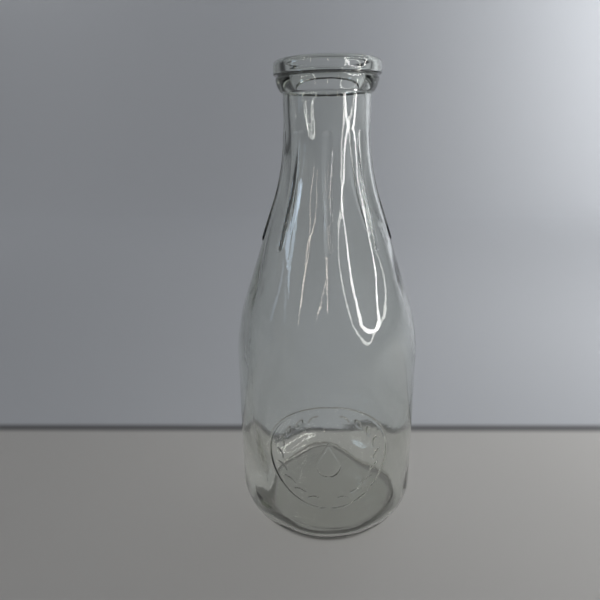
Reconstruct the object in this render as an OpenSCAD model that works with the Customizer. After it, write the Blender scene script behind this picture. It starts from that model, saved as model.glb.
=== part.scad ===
// Quart milk bottle in clear moulded glass.
// It is one piece of glass: a bead lip with a seat for a disc cap, a ribbed neck, a sloping
// shoulder, a round body with a raised badge on its front, a wide rounded heel and a recessed foot.
// The bottle stands on z = 0 with its axis on Z. Its front, with the badge, faces -Y.

/* [Body] */
// Height from the table to the top of the lip
height = 250; // [246:1:256]
// Diameter of the body just above the heel
heel_d = 103; // [101:0.5:106]
// Diameter of the body where the shoulder begins
body_d = 101; // [99:0.5:101]
// Height at which the shoulder begins
shoulder_z = 98; // [92:1:100]
// Radius of the rounded heel
heel_r = 17.8; // [15:0.1:19]

/* [Shoulder and neck] */
// Outer diameter of the neck
neck_d = 43; // [42:0.5:45]
// Radius of the shoulder's outward curve
shoulder_r = 102; // [90:1:110]
// Radius of the inward curve that leads to the neck
neck_curve_r = 116; // [100:1:120]
// Slope of the shoulder, measured from upright
slope = 18.7; // [18.5:0.1:19.5]

/* [Lip] */
// Outer diameter of the lip bead
lip_d = 52; // [51:0.2:53]
// Height of the bead, from the groove below it to the top
bead_h = 6.5; // [6:0.1:7]
// Depth of the groove below the bead
groove_depth = 2.2; // [1.2:0.1:2.4]
// Height of the bulging collar below the groove
collar_h = 7.5; // [7:0.1:8]
// Radius of the collar's bulging outline
collar_r = 9.5; // [9:0.5:12]
// Radius of the outer edge of the lip
lip_edge_r = 2.5; // [2:0.1:2.8]
// Radius of the inner edge of the lip
mouth_edge_r = 1.2; // [0.8:0.1:1.4]

/* [Cap seat] */
// Diameter of the seat that takes the disc cap
cap_seat_d = 41.3; // [40.5:0.1:41.8]
// Depth of the cap seat below the top of the lip
cap_seat_depth = 5.2; // [4.5:0.1:5.6]

/* [Glass] */
// Thickness of the wall
wall = 3; // [2.6:0.1:3.2]
// Height of the floor inside the bottle, midway up its crown
foot_t = 5.5; // [5:0.1:6.5]
// Rise of that floor from its edge to its middle
floor_crown = 2; // [1:0.1:2.5]
// Radius of the inside corner between wall and floor
floor_r = 11.5; // [9:0.5:12]
// Outer radius of the flat ring that the bottle stands on
rest_r = 33.6; // [32:0.1:33.6]
// Width of that ring
rest_w = 3; // [2:0.1:4]
// Rise of the recess in the underside at its middle
foot_rise = 2; // [1:0.1:2.5]

/* [Ribs] */
// Number of ribs around the neck
rib_count = 8; // [4:2:8]
// Width of a rib
rib_w = 4.2; // [3:0.1:5]
// Height of a rib above the glass
rib_h = 0.9; // [0.4:0.1:1]
// Height of the lower end of a rib above the table
rib_bottom = 163; // [158:1:172]
// Height of the upper end of a rib above the table
rib_top = 219; // [212:1:224]

/* [Badge] */
// Height of the badge's centre above the table
badge_z = 61; // [56:1:64]
// Outer radius of the badge's ring
badge_r = 31; // [26:0.5:32]
// Width of a raised line
line_w = 1.2; // [1:0.1:1.6]
// Height of the raised lines above the glass
raise = 0.5; // [0.3:0.1:0.7]
// Number of leaves up each side of the wreath
leaf_count = 9; // [6:1:10]
// Length of a leaf
leaf_l = 6.6; // [5:0.2:8]
// Height of the drop at the centre
drop_h = 22; // [16:1:26]

/* [Hidden] */
$fn = 96;
glass = [0.80, 0.86, 0.84, 0.45];

body_r = body_d / 2;
neck_r = neck_d / 2;
lip_r = lip_d / 2;
seat_r = cap_seat_d / 2;
seat_z = height - cap_seat_depth;
throat_r = neck_r - wall;
throat_edge = 0.6;

// Straight run of the shoulder between its two curves, and the height at which they end
turn = 1 - cos(slope);
straight = (body_r - neck_r - (shoulder_r + neck_curve_r) * turn) / sin(slope);
neck_z = shoulder_z + (shoulder_r + neck_curve_r) * sin(slope) + straight * cos(slope);

// Groove below the bead, and the collar that bulges below the groove
groove_z = height - bead_h;
groove_w = 1.2;
groove_r = lip_r - groove_depth;
bead_edge_r = 0.8;
bead_turn = 75;
collar_lap = 1.1;
collar_z = groove_z - collar_h;
collar_top_r = groove_r + collar_lap;
collar_turn = asin((collar_h - groove_w) / collar_r);
neck_fillet = 0.5;

// Steps in an arc: long sweep, heel, inside corner, edge and small edge
sweep_steps = 12;
heel_steps = 18;
corner_steps = 12;
edge_steps = 8;
small_steps = 5;

// Recess in the underside: a shallow dome inside the flat ring
recess_r = rest_r - rest_w;
dome_r = (recess_r * recess_r + foot_rise * foot_rise) / (2 * foot_rise);

// Floor inside the bottle: a shallow dome with a valley round it
floor_z = foot_t - floor_crown / 2;
crown_z = floor_z + floor_crown;
valley_r = heel_d / 2 - wall - floor_r;
crown_r = (valley_r * valley_r + floor_crown * floor_crown) / (2 * floor_crown);

// How deep a raised detail is sunk into the glass that carries it
root = 1;

// Wreath: its radius as a share of the ring's, the angle it reaches each way, and the leaves' lean
wreath_share = 0.8;
wreath_turn = 72;
leaf_lean = 25;

// Drop: its belly's radius as a share of its height, and how far its belly lies below the middle
belly_share = 0.32;
drop_lower = 0.18;

// Points of an arc of radius rad about [cr, cz], from angle a0 to angle a1
function arc(cr, cz, rad, a0, a1, steps) =
    [for (i = [0:steps]) let (a = a0 + (a1 - a0) * i / steps) [cr + rad * cos(a), cz + rad * sin(a)]];

function reversed(points) = [for (i = [len(points) - 1:-1:0]) points[i]];

// Points without the first one
function later(points) = [for (i = [1:len(points) - 1]) points[i]];

// Shoulder from the body up to the neck, moved inwards by t
function shoulder(t) = concat(
    arc(body_r - shoulder_r, shoulder_z, shoulder_r - t, 0, slope, sweep_steps),
    arc(neck_r + neck_curve_r, neck_z, neck_curve_r + t, 180 + slope, 180, sweep_steps));

// Underside, from its middle out to the flat ring
underside = concat(
    arc(0, foot_rise - dome_r, dome_r, 90, 90 - asin(recess_r / dome_r), edge_steps),
    [[rest_r, 0]]);

// Outside of the glass, from the heel up to the crown of the lip
outside = concat(
    arc(heel_d / 2 - heel_r, heel_r, heel_r, -90, 0, heel_steps),
    shoulder(0),
    [[neck_r, collar_z - neck_fillet]],
    arc(collar_top_r - collar_r, groove_z - groove_w, collar_r, -collar_turn, 0, edge_steps),
    [[groove_r, groove_z - groove_w / 2], [groove_r, groove_z]],
    arc(lip_r - bead_edge_r, groove_z + bead_edge_r, bead_edge_r, -bead_turn, 0, small_steps),
    arc(lip_r - lip_edge_r, height - lip_edge_r, lip_edge_r, 0, 90, edge_steps));

// Inside of the glass, from the crown of the lip down to the middle of the floor
inside = concat(
    arc(seat_r + mouth_edge_r, height - mouth_edge_r, mouth_edge_r, 90, 180, small_steps),
    [[seat_r, seat_z], [throat_r + throat_edge, seat_z], [throat_r, seat_z - throat_edge]],
    reversed(shoulder(wall)),
    arc(valley_r, floor_z + floor_r, floor_r, 0, -90, corner_steps),
    later(arc(0, crown_z - crown_r, crown_r, 90 - asin(valley_r / crown_r), 90, edge_steps)));

// Skin that lies over body, shoulder and neck and stands h above the glass
module skin(h) {
    face = concat(
        [[heel_d / 2 + h, heel_r]],
        shoulder(-h),
        [[neck_r + h, collar_z], [neck_r - root, collar_z]],
        reversed(shoulder(root)),
        [[heel_d / 2 - root, heel_r]]);
    rotate_extrude() polygon(face);
}

// Turns a shape drawn in the front view into a block that reaches from the axis past the front
module to_front() rotate([90, 0, 0]) linear_extrude(height = heel_d) children();

// Upright bar of width w with round ends, from height z0 to z1
module bar(w, z0, z1) {
    translate([-w / 2, z0 + w / 2]) square([w, z1 - z0 - w]);
    for (z = [z0 + w / 2, z1 - w / 2]) translate([0, z]) circle(d = w, $fn = 24);
}

module ribs() {
    intersection() {
        skin(rib_h);
        for (i = [0:rib_count - 1])
            rotate([0, 0, i * 360 / rib_count]) to_front() bar(rib_w, rib_bottom, rib_top);
    }
}

// Leaf that points along Y, a third as wide as it is long, bounded by two arcs
module leaf(length) {
    width = length / 3;
    rad = (length * length + width * width) / (4 * width);
    intersection() {
        translate([rad - width / 2, 0]) circle(r = rad, $fn = 48);
        translate([width / 2 - rad, 0]) circle(r = rad, $fn = 48);
    }
}

// Drop of total height h, about the centre of its round belly
module drop(h) {
    belly = belly_share * h;
    tip = h - belly;
    touch = acos(belly / tip);
    circle(r = belly, $fn = 48);
    polygon([[belly * sin(touch), belly * cos(touch)], [0, tip], [-belly * sin(touch), belly * cos(touch)]]);
}

// Ring, wreath of leaves that rises up both sides, and drop
module badge_lines() {
    wreath_r = wreath_share * badge_r;
    difference() {
        circle(r = badge_r);
        circle(r = badge_r - line_w);
    }
    for (side = [0, 1]) mirror([side, 0])
        for (i = [0:leaf_count - 1])
            rotate(wreath_turn * (2 * i / (leaf_count - 1) - 1))
                translate([wreath_r, 0]) rotate(-leaf_lean) leaf(leaf_l);
    translate([0, -drop_lower * drop_h]) difference() {
        drop(drop_h);
        drop(drop_h - line_w / belly_share);
    }
}

module badge() {
    intersection() {
        skin(raise);
        to_front() translate([0, badge_z]) badge_lines();
    }
}

module glass_bottle() {
    color(glass) {
        rotate_extrude() polygon(concat(underside, outside, inside));
        ribs();
        badge();
    }
}

glass_bottle();
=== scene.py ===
"""Visual model of a clear glass quart milk bottle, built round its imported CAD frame."""

import math

import bpy
import numpy as np
from mathutils import Matrix, Vector


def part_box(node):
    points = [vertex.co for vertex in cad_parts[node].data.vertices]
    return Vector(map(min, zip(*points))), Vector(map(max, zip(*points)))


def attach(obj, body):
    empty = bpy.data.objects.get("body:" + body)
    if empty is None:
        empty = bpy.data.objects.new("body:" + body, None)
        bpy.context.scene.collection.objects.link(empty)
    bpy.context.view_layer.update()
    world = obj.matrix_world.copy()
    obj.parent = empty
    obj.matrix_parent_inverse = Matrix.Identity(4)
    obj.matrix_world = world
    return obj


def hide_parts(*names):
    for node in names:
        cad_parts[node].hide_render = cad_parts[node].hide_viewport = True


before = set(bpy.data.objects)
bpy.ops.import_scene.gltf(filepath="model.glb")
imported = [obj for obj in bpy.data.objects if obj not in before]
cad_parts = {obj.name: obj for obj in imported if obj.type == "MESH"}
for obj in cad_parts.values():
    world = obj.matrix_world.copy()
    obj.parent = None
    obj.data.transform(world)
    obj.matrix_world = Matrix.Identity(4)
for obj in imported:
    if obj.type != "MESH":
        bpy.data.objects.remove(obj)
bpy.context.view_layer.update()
low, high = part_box("glass_bottle")

# ---------------------------------------------------------------- sizes, in millimetres
MM = 1000.0
HEIGHT = (high.z - low.z) * MM
HEEL_D = (high.x - low.x) * MM
BODY_D = HEEL_D - 2.0
SHOULDER_Z = 98.0
HEEL_R = 17.8

NECK_D = 43.0
SHOULDER_R = 102.0
NECK_CURVE_R = 116.0
SLOPE = math.radians(18.7)

LIP_D = 52.0
BEAD_H = 6.5
GROOVE_DEPTH = 2.2
GROOVE_W = 1.2
COLLAR_H = 7.5
COLLAR_R = 9.5
COLLAR_LAP = 1.1
BEAD_EDGE_R = 0.8
BEAD_TURN = 1.3  # radians
NECK_FILLET = 0.5
LIP_EDGE_R = 2.5
MOUTH_EDGE_R = 1.2
SEAT_D = 41.3
SEAT_DEPTH = 5.2
THROAT_EDGE = 0.6

WALL = 3.0
FOOT_T = 5.5
FLOOR_R = 11.5
FLOOR_CROWN = 2.0
REST_R = 33.6
REST_W = 3.0
FOOT_RISE = 2.0

RIB_COUNT = 8
RIB_W = 4.2
RIB_H = 0.9
RIB_BOTTOM = 163.0
RIB_TOP = 219.0
RIB_TOP_SHARE = 0.25  # height of a rib at its upper end, as a share of that at its lower end
RIB_FLANK = 0.2  # share of a rib's half width in which its flank eases in

BADGE_Z = 61.0
BADGE_R = 31.0
LINE_W = 1.2
RAISE = 0.5
BADGE_EDGE = 0.4
LEAF_COUNT = 9
LEAF_L = 6.6
LEAF_LEAN = math.radians(25)
WREATH_SHARE = 0.8
WREATH_TURN = math.radians(72)
DROP_H = 22.0
BELLY_SHARE = 0.32
DROP_LOWER = 0.18

body_r, neck_r, lip_r, seat_r = BODY_D / 2, NECK_D / 2, LIP_D / 2, SEAT_D / 2
seat_z, throat_r = HEIGHT - SEAT_DEPTH, neck_r - WALL
run = (body_r - neck_r - (SHOULDER_R + NECK_CURVE_R) * (1 - math.cos(SLOPE))) / math.sin(SLOPE)
neck_z = SHOULDER_Z + (SHOULDER_R + NECK_CURVE_R) * math.sin(SLOPE) + run * math.cos(SLOPE)
groove_z, groove_r = HEIGHT - BEAD_H, lip_r - GROOVE_DEPTH
collar_z, collar_top_r = groove_z - COLLAR_H, groove_r + COLLAR_LAP
collar_turn = math.asin((COLLAR_H - GROOVE_W) / COLLAR_R)
recess_r = REST_R - REST_W
dome_r = (recess_r**2 + FOOT_RISE**2) / (2 * FOOT_RISE)
floor_z, valley_r = FOOT_T - FLOOR_CROWN / 2, HEEL_D / 2 - WALL - FLOOR_R
crown_r = (valley_r**2 + FLOOR_CROWN**2) / (2 * FLOOR_CROWN)


# ---------------------------------------------------------------- profile of the glass
def arc(cr, cz, rad, a0, a1):
    """Points of an arc about (cr, cz), angles in radians."""
    n = max(3, int(abs(a1 - a0) * rad / 0.1))
    a = np.linspace(a0, a1, n)
    return np.stack([cr + rad * np.cos(a), cz + rad * np.sin(a)], 1)


def shoulder(t):
    """Body to neck, moved inwards by t."""
    return np.vstack(
        [
            arc(body_r - SHOULDER_R, SHOULDER_Z, SHOULDER_R - t, 0, SLOPE),
            arc(neck_r + NECK_CURVE_R, neck_z, NECK_CURVE_R + t, math.pi + SLOPE, math.pi),
        ]
    )


RIGHT, UP, LEFT, DOWN = 0.0, math.pi / 2, math.pi, -math.pi / 2
outline = np.vstack(
    [
        arc(0, FOOT_RISE - dome_r, dome_r, UP, UP - math.asin(recess_r / dome_r)),
        [[REST_R, 0]],
        arc(HEEL_D / 2 - HEEL_R, HEEL_R, HEEL_R, DOWN, RIGHT),
        shoulder(0),
        [[neck_r, collar_z - NECK_FILLET]],
        arc(collar_top_r - COLLAR_R, groove_z - GROOVE_W, COLLAR_R, -collar_turn, RIGHT),
        [[groove_r, groove_z - GROOVE_W / 2], [groove_r, groove_z]],
        arc(lip_r - BEAD_EDGE_R, groove_z + BEAD_EDGE_R, BEAD_EDGE_R, -BEAD_TURN, RIGHT),
        arc(lip_r - LIP_EDGE_R, HEIGHT - LIP_EDGE_R, LIP_EDGE_R, RIGHT, UP),
        arc(seat_r + MOUTH_EDGE_R, HEIGHT - MOUTH_EDGE_R, MOUTH_EDGE_R, UP, LEFT),
        [[seat_r, seat_z], [throat_r + THROAT_EDGE, seat_z], [throat_r, seat_z - THROAT_EDGE]],
        shoulder(WALL)[::-1],
        arc(valley_r, floor_z + FLOOR_R, FLOOR_R, RIGHT, DOWN),
        arc(0, floor_z + FLOOR_CROWN - crown_r, crown_r, UP - math.asin(valley_r / crown_r), UP),
    ]
)
STEP = 0.05
EDGE_SOFT = 0.12

along = np.concatenate([[0], np.cumsum(np.hypot(*np.diff(outline, axis=0).T))])
keep = np.concatenate([[True], np.diff(along) > 1e-9])
outline, along = outline[keep], along[keep]
s_all = np.arange(0, along[-1], STEP)
raw = np.stack([np.interp(s_all, along, outline[:, 0]), np.interp(s_all, along, outline[:, 1])], 1)
reach = int(4 * EDGE_SOFT / STEP)
kernel = np.exp(-0.5 * (np.arange(-reach, reach + 1) * STEP / EDGE_SOFT) ** 2)
kernel /= kernel.sum()
ends = np.vstack([raw[reach:0:-1] * [-1, 1], raw, raw[-2 : -reach - 2 : -1] * [-1, 1]])
line = np.stack([np.convolve(ends[:, i], kernel, "valid") for i in (0, 1)], 1)
line[0, 0] = line[-1, 0] = 0
tangent = np.gradient(line, axis=0)
tangent /= np.linalg.norm(tangent, axis=1)[:, None]
bend = np.abs(np.gradient(np.unwrap(np.arctan2(tangent[:, 1], tangent[:, 0])), STEP))
crown = int(np.argmax(line[:, 1]))
s_crown, s_end = s_all[crown], s_all[-1]


def s_outer(z):
    """Place along the outside at height z, above the heel."""
    half = slice(int(np.argmax(line[:crown, 0] > HEEL_D / 2 - 1)), crown)
    return float(np.interp(z, line[half, 1], s_all[half]))


def s_inner(z):
    """Place along the inside at height z."""
    half = slice(crown, len(line))
    return float(np.interp(-z, -line[half, 1], s_all[half]))


# ---------------------------------------------------------------- raised details
def smooth(x):
    x = np.clip(x, 0, 1)
    return x * x * (3 - 2 * x)


def leaf_distance(x, y, length):
    """Distance to a leaf that points along y, bounded by two arcs."""
    width = length / 3
    rad = (length**2 + width**2) / (4 * width)
    d, b = rad - width / 2, length / 2
    x, y = np.abs(x), np.abs(y)
    return np.where((y - b) * d > x * b, np.hypot(x, y - b), np.hypot(x + d, y) - rad)


def drop_distance(x, y, h):
    """Distance to a drop of height h about the centre of its belly."""
    belly = BELLY_SHARE * h
    tip = h - belly
    b = belly / tip
    a = math.sqrt(1 - b * b)
    x = np.abs(x)
    k = -b * x + a * y
    side = a * x + b * y - belly
    above = np.where(k > a * tip, np.hypot(x, y - tip), side)
    return np.where(k < 0, np.hypot(x, y) - belly, above)


def badge_distance(x, y):
    """Distance to the badge's raised lines: ring, wreath and drop."""
    d = np.abs(np.hypot(x, y) - (BADGE_R - LINE_W / 2)) - LINE_W / 2
    for i in range(LEAF_COUNT):
        turn = WREATH_TURN * (2 * i / (LEAF_COUNT - 1) - 1)
        u = np.abs(x) * math.cos(turn) + y * math.sin(turn) - WREATH_SHARE * BADGE_R
        v = -np.abs(x) * math.sin(turn) + y * math.cos(turn)
        c, s = math.cos(LEAF_LEAN), math.sin(LEAF_LEAN)
        d = np.minimum(d, leaf_distance(u * c - v * s, u * s + v * c, LEAF_L))
    y = y + DROP_LOWER * DROP_H
    ring = np.maximum(
        drop_distance(x, y, DROP_H), -drop_distance(x, y, DROP_H - LINE_W / BELLY_SHARE)
    )
    return np.minimum(d, ring)


def wave(phi, z, terms, seed):
    """Sum of slow waves round and along the glass, at most about 1."""
    rng = np.random.default_rng(seed)
    total = 0
    for order, length in terms:
        a, b = rng.uniform(0, 2 * math.pi, 2)
        run_up = a + 2 * math.pi * z / length
        total = total + np.cos(order * phi + run_up) * math.cos(b) / len(terms)
        total = total + np.cos(order * phi - run_up) * math.sin(b) / len(terms)
    return total


OUTER_WAVES = [(2, 170.0), (3, 95.0), (5, 140.0), (7, 60.0)]
NECK_WAVES = [(4, 70.0), (7, 48.0), (10, 36.0), (13, 55.0)]
INNER_WAVES = [(1, 210.0), (2, 120.0), (3, 90.0), (4, 150.0), (6, 75.0), (9, 110.0)]
OUTER_WAVE, NECK_WAVE, INNER_WAVE = 0.05, 0.14, 1.3
LOBES, LOBE_TURN, LOBE = 4, math.radians(33), 0.9
SEAM_H, SEAM_W = 0.12, 0.35
TRIM, TRIM_W = 0.16, 14
LOBE_FROM, LOBE_RISE = 14, 40  # heights over which the lobes start
RING_MARK_R, RING_MARK_W, RING_MARK_DEEP = 40.2, 0.6, 0.45
RING_MARK_OFF = 1.6  # how far the ring mark wanders in and out
RING_MARK_TOP = 12  # height under which the mark is pressed


def lift(phi, s):
    """How far the surface stands proud of the plain profile at angle phi and place s."""
    r, z = np.interp(s, s_all, line[:, 0]), np.interp(s, s_all, line[:, 1])
    outside = s < s_crown
    h = np.zeros(np.broadcast(phi, s).shape)
    # badge on the front
    x = r * np.sin(phi)
    near = outside & (np.cos(phi) > 0) & (np.abs(z - BADGE_Z) < BADGE_R + 2)
    d = badge_distance(x, z - BADGE_Z)
    h = h + np.where(near, RAISE * smooth(0.5 - d / BADGE_EDGE), 0)
    # ribs round the neck
    turn = 2 * math.pi / RIB_COUNT
    off = (phi + turn / 2) % turn - turn / 2
    half = RIB_W / 2
    zz = np.clip(z, RIB_BOTTOM + half, RIB_TOP - half)
    d = np.hypot(r * np.sin(off), z - zz) - half
    ribbed = outside & (z > RIB_BOTTOM - 3) & (z < RIB_TOP + 3)
    proud = RIB_H * (1 - (1 - RIB_TOP_SHARE) * smooth((z - RIB_BOTTOM) / (RIB_TOP - RIB_BOTTOM)))
    t = np.clip(-d / half, 0, 1)
    h = h + np.where(ribbed, proud * (1 - (1 - t) ** 2) * smooth(t / RIB_FLANK), 0)
    # mould seams at the sides
    side = np.abs(np.abs(phi) - math.pi / 2)
    seam = SEAM_H * np.exp(-((r * np.sin(side) / SEAM_W) ** 2))
    seam = seam * smooth((z - 1.5) / 4) * smooth((collar_z - z) / 2) * (side < 0.5)
    h = h + np.where(outside & (r > 30) | outside & (z > 100), seam, 0)
    # slow unevenness of blown glass
    calm = smooth((HEIGHT - 22 - z) / 18) * smooth(r / 12)
    slow = OUTER_WAVE * wave(phi, z, OUTER_WAVES, 3) * smooth((z - 2) / 10)
    h = h + np.where(outside, slow, 0) * calm
    sway = smooth((z - 100) / 25) * smooth((215 - z) / 25)
    h = h + np.where(outside, NECK_WAVE * wave(phi, z, NECK_WAVES, 5) * sway, 0)
    # the heel keeps inside the frame's box
    h = h - np.where(outside, TRIM * np.exp(-(((z - HEEL_R - 4) / TRIM_W) ** 2)), 0)
    inside = INNER_WAVE * wave(phi, z, INNER_WAVES, 11) * calm * smooth(r / 45)
    full_r = HEEL_D / 2 - WALL - 0.5
    lobes = LOBE * np.cos(LOBES * (phi - LOBE_TURN)) * (np.minimum(r, full_r) / full_r) ** 2
    inside = inside + lobes * calm * smooth((z - LOBE_FROM) / LOBE_RISE)
    # mark of the mould's plunger round the floor
    centre = RING_MARK_R - RING_MARK_OFF * (1 + np.cos(2 * phi))
    centre = centre + 0.4 * np.sin(3 * phi) + 0.3 * np.sin(5 * phi)
    wide = RING_MARK_W * (1 + 0.8 * smooth(np.cos(phi)))
    deep = RING_MARK_DEEP * (1 + 0.8 * smooth(-np.cos(phi)))
    mark = deep * np.exp(-(((r - centre) / wide) ** 2))
    inside = inside - mark * smooth((RING_MARK_TOP - z) / 3)
    return h + np.where(outside, 0, inside)


def surface(phi, s):
    """Points of the glass, in millimetres, and their normals."""
    phi, s = np.broadcast_arrays(np.asarray(phi, float), np.asarray(s, float))

    def place(p, q):
        q = np.clip(q, 0, s_end)
        r, z = np.interp(q, s_all, line[:, 0]), np.interp(q, s_all, line[:, 1])
        tr, tz = np.interp(q, s_all, tangent[:, 0]), np.interp(q, s_all, tangent[:, 1])
        n = np.hypot(tr, tz)
        h = lift(p, q) * smooth(r / 2)
        r, z = r + h * tz / n, z - h * tr / n
        return np.stack([r * np.sin(p), -r * np.cos(p), z], -1)

    e, f = 2e-3, 0.05
    across = place(phi + e, s) - place(phi - e, s)
    up = place(phi, s + f) - place(phi, s - f)
    n = np.cross(across, up)
    size = np.linalg.norm(n, axis=-1, keepdims=True)
    return place(phi, s), n / np.maximum(size, 1e-12)


# ---------------------------------------------------------------- mesh of the glass
points, normals, faces = [], [], []


def add(phis, ss):
    """Adds vertices at each pair and returns their numbers."""
    p, n = surface(phis, ss)
    first = sum(len(x) for x in points)
    points.append(p.reshape(-1, 3))
    normals.append(n.reshape(-1, 3))
    return np.arange(first, first + p.reshape(-1, 3).shape[0])


def quads(a, b):
    """Quads between two chains of the same length."""
    for i in range(len(a) - 1):
        faces.append((a[i], a[i + 1], b[i + 1], b[i]))


def zip_chains(a, pa, b, pb):
    """Triangles between chain a and chain b, which run the same way, by their parameters."""
    i = j = 0
    while i < len(a) - 1 or j < len(b) - 1:
        if j == len(b) - 1 or (i < len(a) - 1 and pa[i + 1] <= pb[j + 1]):
            faces.append((a[i], a[i + 1], b[j]))
            i += 1
        else:
            faces.append((a[i], b[j + 1], b[j]))
            j += 1


def rows(s0, s1, longest, turn=math.radians(8), shortest=0.22):
    """Places from s0 to s1, closer together where the profile bends."""
    out = [s0]
    while True:
        s = out[-1]
        window = (s_all >= s) & (s_all <= s + longest)
        step = longest
        if window.any():
            total = np.cumsum(bend[window]) * STEP
            over = np.argmax(total > turn) if (total > turn).any() else -1
            if over >= 0:
                step = max(shortest, over * STEP)
        if s + 1.4 * step >= s1:
            break
        out.append(s + step)
    return np.array(out[1:] + [s1]) if s0 > 0 else np.array(out + [s1])


BASE_COLUMNS = 144
base = np.linspace(-math.pi, math.pi, BASE_COLUMNS + 1)[:-1]
SEAM_STEPS = np.radians([0.3, 0.6, 1.0, 1.5])
side_columns = [s * (math.pi / 2 + t * d) for s in (-1, 1) for t in (-1, 1) for d in SEAM_STEPS]
outer_columns = np.unique(np.round(np.concatenate([base, side_columns]), 9))

rib_steps = np.radians([0.6, 1.2, 1.8, 3.2, 3.8, 4.4, 5.7, 6.4])
rib_columns = [
    -math.pi + i * 2 * math.pi / RIB_COUNT + t * d
    for i in range(RIB_COUNT + 1)
    for t in (-1, 1)
    for d in rib_steps
]
rib_columns = [c for c in rib_columns if -math.pi < c < math.pi]
neck_columns = np.unique(np.round(np.concatenate([base, rib_columns, side_columns]), 9))

PATCH_HALF = math.radians(37.5)
PATCH_STEP = 0.4
PATCH_LOW, PATCH_HIGH = BADGE_Z - BADGE_R - 2, BADGE_Z + BADGE_R + 2
patch_count = int(2 * PATCH_HALF * HEEL_D / 2 / PATCH_STEP / 2) * 2
patch_columns = np.linspace(-PATCH_HALF, PATCH_HALF, patch_count + 1)
beside_patch = outer_columns[np.abs(outer_columns) > PATCH_HALF + 1e-6]
ring_columns = np.unique(np.round(np.concatenate([beside_patch, patch_columns]), 9))

seq = []


def closed(chain, columns):
    return np.append(chain, chain[0]), np.append(columns, columns[0] + 2 * math.pi)


def band(s_list, columns):
    """Rings of vertices at the given places, joined to the last ring and to each other."""
    for s in s_list:
        seq.append((add(columns, np.full(len(columns), s)), columns))
        if len(seq) > 1:
            (a, ca), (b, cb) = closed(*seq[-2]), closed(*seq[-1])
            if len(ca) == len(cb) and np.allclose(ca, cb):
                quads(a, b)
            else:
                zip_chains(a, ca, b, cb)


def cap(s, normal_z):
    """The vertex on the axis, joined to the nearest ring."""
    centre = add(np.array([0.0]), np.array([s]))[0]
    normals[-1][:] = [0, 0, normal_z]
    chain, _ = closed(*seq[-1])
    faces.extend((centre, chain[k], chain[k + 1]) for k in range(len(chain) - 1))


# underside and heel, from the middle of the foot outwards
FIRST = 1.2
s_patch_low, s_patch_high = s_outer(PATCH_LOW), s_outer(PATCH_HIGH)
s_rib_low, s_rib_high = s_outer(RIB_BOTTOM - 1.5), s_outer(RIB_TOP + 1.5)
band([FIRST], base[::4])
cap(0.0, -1)
band(rows(FIRST, 8.0, 2.0), base[::4])
band(rows(8.0, 22.0, 2.5), base[::2])
band(rows(22.0, s_patch_low, 3.2), outer_columns)

# badge band: a fine patch in front, and coarse rows round the back
s0, s1 = s_patch_low + 1.0, s_patch_high - 1.0
band([s0], ring_columns)
fine = np.linspace(s0, s1, int((s1 - s0) / PATCH_STEP) + 1)
coarse = np.linspace(s0, s1, int((s1 - s0) / 3.4) + 1)
left_i = int(np.argmin(np.abs(ring_columns + PATCH_HALF)))
right_i = int(np.argmin(np.abs(ring_columns - PATCH_HALF)))
back_columns = np.concatenate([ring_columns[right_i + 1 :], ring_columns[:left_i] + 2 * math.pi])


def split(chain):
    """The part of a ring that lies in the patch, and the rest of it."""
    return chain[left_i : right_i + 1], np.concatenate([chain[right_i + 1 :], chain[:left_i]])


below = seq[-1][0]
seq.append((add(ring_columns, np.full(len(ring_columns), s1)), ring_columns))
above = seq[-1][0]
front = [split(below)[0]]
front += [add(patch_columns, np.full(len(patch_columns), s)) for s in fine[1:-1]]
front += [split(above)[0]]
back = [split(below)[1]]
back += [add(back_columns, np.full(len(back_columns), s)) for s in coarse[1:-1]] + [split(above)[1]]
for grid in (front, back):
    for a, b in zip(grid[:-1], grid[1:]):
        quads(a, b)
zip_chains([g[-1] for g in front], fine, [b[0] for b in back], coarse)
zip_chains([b[-1] for b in back], coarse, [g[0] for g in front], fine)

# shoulder, ribs, lip and inside
s_ends_low, s_ends_high = s_outer(RIB_BOTTOM + 3.2), s_outer(RIB_TOP - 3.2)
s_collar, s_throat = s_outer(collar_z - 1.5), s_inner(seat_z - 3)
s_floor = s_inner(floor_z + FLOOR_R + 1)
band([s_patch_high], outer_columns)
band(rows(s_patch_high, s_rib_low, 3.2), outer_columns)
band([s_rib_low + 0.6], neck_columns)
band(rows(s_rib_low + 0.6, s_ends_low, 0.45), neck_columns)
band(rows(s_ends_low, s_ends_high, 1.6), neck_columns)
band(rows(s_ends_high, s_rib_high - 0.6, 0.45), neck_columns)
band([s_rib_high], outer_columns)
band(rows(s_rib_high, s_collar, 2.5), outer_columns)
band(rows(s_collar, s_throat, 1.2), base)
s_mark = s_end - RING_MARK_R + RING_MARK_OFF
band(rows(s_throat, s_floor, 3.8), base)
band(rows(s_floor, s_mark - 4.5, 1.2), base)
band(rows(s_mark - 4.5, s_mark + 4.5, 0.3), base)
band(rows(s_mark + 4.5, s_end - 22, 3.0), base)
band(rows(s_end - 22, s_end - 8, 3.0), base[::2])
band(rows(s_end - 8, s_end - FIRST, 2.5), base[::4])
cap(s_end, 1)

vertices, vertex_normals = np.vstack(points), np.vstack(normals)


def facing_out(face):
    """The face's corners, in the order that turns it the way of its vertices' normals."""
    corners = vertices[list(face)]
    across = np.cross(corners[1] - corners[0], corners[2] - corners[0])
    return face if across @ vertex_normals[list(face)].sum(0) > 0 else face[::-1]


mesh = bpy.data.meshes.new("bottle_glass")
mesh.from_pydata((vertices / MM).tolist(), [], [tuple(map(int, facing_out(f))) for f in faces])
mesh.validate()
mesh.polygons.foreach_set("use_smooth", [True] * len(mesh.polygons))
mesh.normals_split_custom_set_from_vertices(vertex_normals.tolist())
bottle = bpy.data.objects.new("bottle_glass", mesh)
bpy.context.scene.collection.objects.link(bottle)


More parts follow.
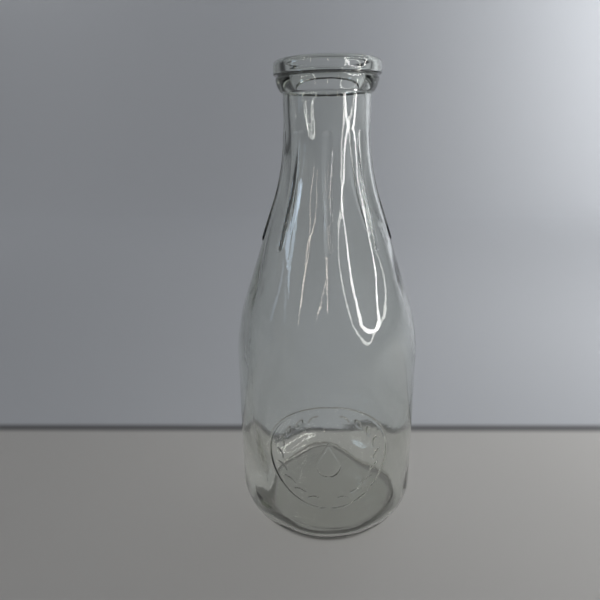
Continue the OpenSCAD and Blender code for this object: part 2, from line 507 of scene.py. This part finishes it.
# ---------------------------------------------------------------- materials
class Nodes:
    """A node tree with short ways to add and join nodes."""

    def __init__(self, tree):
        self.tree = tree
        tree.nodes.clear()

    def add(self, kind, props=None, **inputs):
        node = self.tree.nodes.new(kind)
        for key, value in (props or {}).items():
            setattr(node, key, value)
        for key, value in inputs.items():
            self.put(node, key.replace("_", " ") if key not in node.inputs else key, value)
        return node

    def put(self, node, key, value):
        socket = node.inputs[key]
        if isinstance(value, bpy.types.NodeSocket):
            self.tree.links.new(value, socket)
        else:
            socket.default_value = value

    def math(self, operation, a, b=None, clamp=False):
        node = self.tree.nodes.new("ShaderNodeMath")
        node.operation, node.use_clamp = operation, clamp
        self.put(node, 0, a)
        if b is not None:
            self.put(node, 1, b)
        return node.outputs[0]

    def span(self, value, a, b, c=0.0, d=1.0):
        """value brought smoothly from a..b to c..d."""
        node = self.tree.nodes.new("ShaderNodeMapRange")
        node.interpolation_type = "SMOOTHSTEP"
        for i, v in enumerate((value, a, b, c, d)):
            self.put(node, i, v)
        return node.outputs[0]

    def between(self, value, a, b, c, d):
        """1 where value lies from b to c, falling smoothly to 0 at a and at d."""
        return self.math("MULTIPLY", self.span(value, a, b), self.span(value, c, d, 1.0, 0.0))

    def radius(self, place):
        """Distance from the axis of the bottle."""
        flat = self.add("ShaderNodeCombineXYZ", X=place["X"], Y=place["Y"]).outputs[0]
        length = self.add("ShaderNodeVectorMath", {"operation": "LENGTH"}, Vector=flat)
        return length.outputs["Value"]

    def mix(self, factor, a, b):
        node = self.tree.nodes.new("ShaderNodeMix")
        node.data_type = "RGBA"
        for i, v in ((0, factor), (6, a), (7, b)):
            self.put(node, i, v)
        return node.outputs[2]


def material(name):
    made = bpy.data.materials.new(name)
    made.use_nodes = True
    return made, Nodes(made.node_tree)


# Painted shade on the glass: a darker band along the floor's ring mark and a near-black line in the
# groove below the bead.
# Lengths in this part are in metres.
CLEAR = (0.99, 1.0, 0.99, 1)
MARK_PAINTED_SHADE, GROOVE_PAINTED_SHADE = (0.55, 0.545, 0.5, 1), (0.09, 0.09, 0.085, 1)
MARK_AT, MARK_SWAY = 0.0408, 0.003
groove_at = [(groove_z + off) / MM for off in (-1.4, -0.9, 0.1, 0.3)]

glass, g = material("clear_glass")
where = g.add("ShaderNodeTexCoord").outputs["Object"]
place = g.add("ShaderNodeSeparateXYZ", Vector=where).outputs
height, radius = place["Z"], g.radius(place)

# slow ripples, fine ripples and upright streaks
ripple = g.add("ShaderNodeTexNoise", Vector=where, Scale=55.0, Detail=2.0, Roughness=0.4)
fine_ripple = g.add("ShaderNodeTexNoise", Vector=where, Scale=420.0, Detail=1.0)
drawn = g.add("ShaderNodeMapping", Vector=where, Scale=(1.0, 1.0, 0.02))
streaks = g.add("ShaderNodeTexNoise", Vector=drawn.outputs[0], Scale=600.0, Detail=1.0)
height_map = ripple.outputs["Fac"]
for noise, share in ((fine_ripple, 0.12), (streaks, 0.05)):
    height_map = g.math("ADD", height_map, g.math("MULTIPLY", noise.outputs["Fac"], share))
bump = g.add("ShaderNodeBump", Strength=0.35, Distance=0.0004, Height=height_map)

# light scuffs, most of them near the table
scuff = g.add("ShaderNodeTexNoise", Vector=where, Scale=160.0, Detail=4.0, Roughness=0.7)
low_down = g.math("ADD", g.span(height, 0.03, 0.002), 0.15)
worn = g.math("MULTIPLY", g.span(scuff.outputs["Fac"], 0.5, 0.75), low_down)

# painted shade along the floor's ring mark, weaker towards the far left
wavy = g.math("ADD", radius, g.math("MULTIPLY", ripple.outputs["Fac"], MARK_SWAY))
off_mark = g.math("ABSOLUTE", g.math("SUBTRACT", wavy, MARK_AT))
painted_mark_shade = g.span(off_mark, 0.0002, 0.0013, 1.0, 0.0)
painted_mark_shade = g.math("MULTIPLY", painted_mark_shade, g.between(height, 0.0035, 0.0038, 0.0075, 0.008))
painted_mark_shade = g.math("MULTIPLY", painted_mark_shade, g.span(place["X"], -0.036, -0.024, 0.45, 1.0))
# painted shade: a near-black line in the groove below the bead
painted_groove_shade = g.between(radius, 0.0225, 0.0228, 0.0252, 0.0256)
painted_groove_shade = g.math("MULTIPLY", painted_groove_shade, g.between(height, *groove_at))

shader = g.add(
    "ShaderNodeBsdfPrincipled",
    Roughness=g.span(worn, 0.0, 1.0, 0.0, 0.12),
    Normal=bump.outputs["Normal"],
)
# base colour: clear glass with the painted shade of the ring mark and of the groove
g.put(shader, "Base Color", g.mix(painted_groove_shade, g.mix(painted_mark_shade, CLEAR, MARK_PAINTED_SHADE), GROOVE_PAINTED_SHADE))
g.put(shader, "Transmission Weight", 1.0)
g.put(shader, "IOR", 1.52)
body = g.add("ShaderNodeVolumeAbsorption", Density=90.0)
g.put(body, "Color", (0.82, 0.832, 0.79, 1))
g.add("ShaderNodeOutputMaterial", Surface=shader.outputs[0], Volume=body.outputs[0])
mesh.materials.append(glass)

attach(bottle, "root")
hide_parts("glass_bottle")

# ---------------------------------------------------------------- stage
FLOOR_FRONT, WALL_Y, COVE_R, WALL_TOP, STAGE_HALF = -3.0, 1.6, 0.6, 2.5, 2.4
JOINT_Y, JOINT_SOFT = 0.066, 0.008
cove = [
    (WALL_Y - COVE_R + COVE_R * math.sin(a), COVE_R - COVE_R * math.cos(a))
    for a in np.linspace(0, math.pi / 2, 25)
]
sweep = [(FLOOR_FRONT, 0.0), (-1.0, 0.0)] + cove + [(WALL_Y, WALL_TOP)]
stage_verts = [(x, y, z) for y, z in sweep for x in (-STAGE_HALF, STAGE_HALF)]
stage_faces = [(2 * i, 2 * i + 1, 2 * i + 3, 2 * i + 2) for i in range(len(sweep) - 1)]
stage_mesh = bpy.data.meshes.new("stage")
stage_mesh.from_pydata(stage_verts, [], stage_faces)
stage_mesh.polygons.foreach_set("use_smooth", [True] * len(stage_mesh.polygons))
stage = bpy.data.objects.new("stage", stage_mesh)
bpy.context.scene.collection.objects.link(stage)

TABLE, WALL_TONE = (0.60, 0.59, 0.57, 1), (0.58, 0.60, 0.63, 1)
JOINT_GAP_AND_SHADE, CONTACT = (0.12, 0.12, 0.125, 1), (0.03, 0.03, 0.028, 1)
UNDER, FAR_PAINTED_SHADE = (0.03, 0.027, 0.018, 1), (0.02, 0.02, 0.02, 1)

pale, p = material("pale_stage")
spot = p.add("ShaderNodeSeparateXYZ", Vector=p.add("ShaderNodeTexCoord").outputs["Object"]).outputs
stage_radius = p.radius(spot)
beyond = p.span(spot["Y"], JOINT_Y - JOINT_SOFT / 2, JOINT_Y + JOINT_SOFT / 2)
tone = p.mix(beyond, TABLE, WALL_TONE)
# a dark line for the joint where a wall would meet the table: partly a dark gap, partly painted
# shade
off_joint = p.math("ABSOLUTE", p.math("SUBTRACT", spot["Y"], JOINT_Y))
tone = p.mix(p.span(off_joint, 0.0, JOINT_SOFT, 0.85, 0.0), tone, JOINT_GAP_AND_SHADE)
# shade where the bottle stands, and a deeper ring of it under the overhang of the heel
tone = p.mix(p.span(stage_radius, 0.036, 0.046, 0.26, 0.0), tone, CONTACT)
under_heel = p.between(stage_radius, 0.036, 0.0385, 0.0405, 0.0435)
under_heel = p.math("MULTIPLY", under_heel, p.span(spot["Y"], -0.034, -0.01, 0.9, 0.5))
tone = p.mix(under_heel, tone, UNDER)
# painted shade: the stage darkens far to the left, and behind the camera
aside = p.span(spot["X"], -1.15, -1.5, 0.0, 0.65)
in_front = p.span(spot["Y"], -0.15, -0.6, 0.0, 0.4)
tone = p.mix(p.math("MAXIMUM", aside, in_front), tone, FAR_PAINTED_SHADE)
floor_shader = p.add("ShaderNodeBsdfPrincipled", Roughness=0.9)
p.put(floor_shader, "Base Color", tone)
p.put(floor_shader, "Specular IOR Level", 0.15)
p.add("ShaderNodeOutputMaterial", Surface=floor_shader.outputs[0])
stage_mesh.materials.append(pale)

# ---------------------------------------------------------------- light
CENTRE = Vector((0, 0, HEIGHT / MM / 2))
only_stage = bpy.data.collections.new("stage_shadows")
only_stage.objects.link(stage)
only_glass = bpy.data.collections.new("glass_lights")
only_glass.objects.link(bottle)


def towards(azimuth, elevation):
    """Direction from the bottle; azimuth 0 is the camera's side, and 90 is the right."""
    a, e = math.radians(azimuth), math.radians(elevation)
    return Vector((math.sin(a) * math.cos(e), -math.cos(a) * math.cos(e), math.sin(e)))


def strip(name, azimuth, elevation, distance, width, tall, radiance, colour):
    """A soft panel that faces the bottle."""
    out_to = towards(azimuth, elevation)
    lamp = bpy.data.lights.new(name, "AREA")
    lamp.shape, lamp.size, lamp.size_y = "RECTANGLE", width, tall
    lamp.energy = radiance * math.pi * width * tall
    lamp.color = colour
    placed = bpy.data.objects.new(name, lamp)
    placed.location = CENTRE + out_to * distance
    placed.rotation_euler = out_to.to_track_quat("Z", "Y").to_euler()
    placed.visible_camera = False
    placed.light_linking.receiver_collection = only_glass
    bpy.context.scene.collection.objects.link(placed)


def wash(name, at, energy):
    """A soft lamp for the stage only: the glass neither shows it nor shades it."""
    lamp = bpy.data.lights.new(name, "POINT")
    lamp.energy, lamp.shadow_soft_size = energy, 0.1
    placed = bpy.data.objects.new(name, lamp)
    placed.location = at
    placed.visible_camera = placed.visible_glossy = placed.visible_transmission = False
    placed.light_linking.blocker_collection = only_stage
    placed.light_linking.receiver_collection = only_stage
    bpy.context.scene.collection.objects.link(placed)


RING_AZ, RING_EL, RING_FAR, RING_HALF_DEG, RING_TUBE_DEG = 60, 26.4, 0.9, 22.5, 3.0
RING_GLOW, RING_SIDES = 18.0, 96
ring_r = RING_FAR * math.tan(math.radians(RING_HALF_DEG))
tube = RING_FAR * math.tan(math.radians(RING_TUBE_DEG)) / 2
turns = np.linspace(0, 2 * math.pi, RING_SIDES + 1)[:-1]
ring_verts = [
    (r * math.cos(t), r * math.sin(t), 0) for r in (ring_r - tube, ring_r + tube) for t in turns
]
ring_faces = [
    (i, (i + 1) % RING_SIDES, RING_SIDES + (i + 1) % RING_SIDES, RING_SIDES + i)
    for i in range(RING_SIDES)
]
ring_mesh = bpy.data.meshes.new("ring_light")
ring_mesh.from_pydata(ring_verts, [], ring_faces)
ring_light = bpy.data.objects.new("ring_light", ring_mesh)
ring_to = towards(RING_AZ, RING_EL)
ring_light.location = CENTRE + ring_to * RING_FAR
ring_light.rotation_euler = ring_to.to_track_quat("Z", "Y").to_euler()
ring_light.visible_camera = False
ring_light.light_linking.receiver_collection = only_glass
bpy.context.scene.collection.objects.link(ring_light)
glow, e = material("ring_glow")
lit = e.add("ShaderNodeEmission", Strength=RING_GLOW)
e.put(lit, "Color", (1.0, 0.985, 0.96, 1))
e.add("ShaderNodeOutputMaterial", Surface=lit.outputs[0])
ring_mesh.materials.append(glow)

WARM, COOL = (1.0, 0.89, 0.78), (0.66, 0.82, 1.0)
strip("slit_mid", -1, 22, 1.2, 0.020, 0.26, 12.0, WARM)
strip("slit_left", -35, 22, 1.2, 0.020, 0.30, 12.0, WARM)
strip("left_window", -73, 20.0, 1.5, 0.26, 0.22, 5.5, COOL)
strip("left_window_low", -77, 10, 1.5, 0.10, 0.22, 1.6, COOL)
wash("wash_near", (0.55, 0.05, 0.35), 4.4)
wash("wash_right", (0.7, 0.3, 0.5), 1.9)
wash("wash_back_right", (1.3, 0.9, 0.8), 27)
wash("wash_back_left", (-1.1, 0.8, 1.2), 11)

world = bpy.data.worlds.new("studio")
world.use_nodes = True
bpy.context.scene.world = world
w = Nodes(world.node_tree)
direction = w.add("ShaderNodeSeparateXYZ", Vector=w.add("ShaderNodeTexCoord").outputs["Generated"])
window_side = w.span(direction.outputs["X"], 0.0, 0.8)
sky = w.mix(window_side, (0.055, 0.056, 0.061, 1), (0.15, 0.155, 0.165, 1))
backing = w.add("ShaderNodeBackground", Color=sky, Strength=1.0)
w.add("ShaderNodeOutputWorld", Surface=backing.outputs[0])

# ---------------------------------------------------------------- camera
CAMERA_AT = Vector((-0.00759, -0.2530, 0.2196))
PITCH, YAW, ROLL = math.radians(19.61), math.radians(-1.607), math.radians(-0.870)
forward = Vector(
    (math.sin(YAW) * math.cos(PITCH), math.cos(YAW) * math.cos(PITCH), -math.sin(PITCH))
)
level = Vector((math.cos(YAW), -math.sin(YAW), 0))
upright = level.cross(forward)
cam_x = math.cos(ROLL) * level + math.sin(ROLL) * upright
cam_y = -math.sin(ROLL) * level + math.cos(ROLL) * upright
lens = bpy.data.cameras.new("camera")
lens.sensor_width, lens.lens = 36.0, 28.8
lens.clip_start, lens.clip_end = 0.01, 50.0
camera = bpy.data.objects.new("camera", lens)
turned = Matrix((cam_x, cam_y, -forward)).transposed()
camera.matrix_world = Matrix.Translation(CAMERA_AT) @ turned.to_4x4()
bpy.context.scene.collection.objects.link(camera)
bpy.context.scene.camera = camera

scene = bpy.context.scene
scene.view_settings.view_transform = "Standard"
scene.cycles.max_bounces = 24
scene.cycles.transmission_bounces = 24
scene.cycles.glossy_bounces = 8
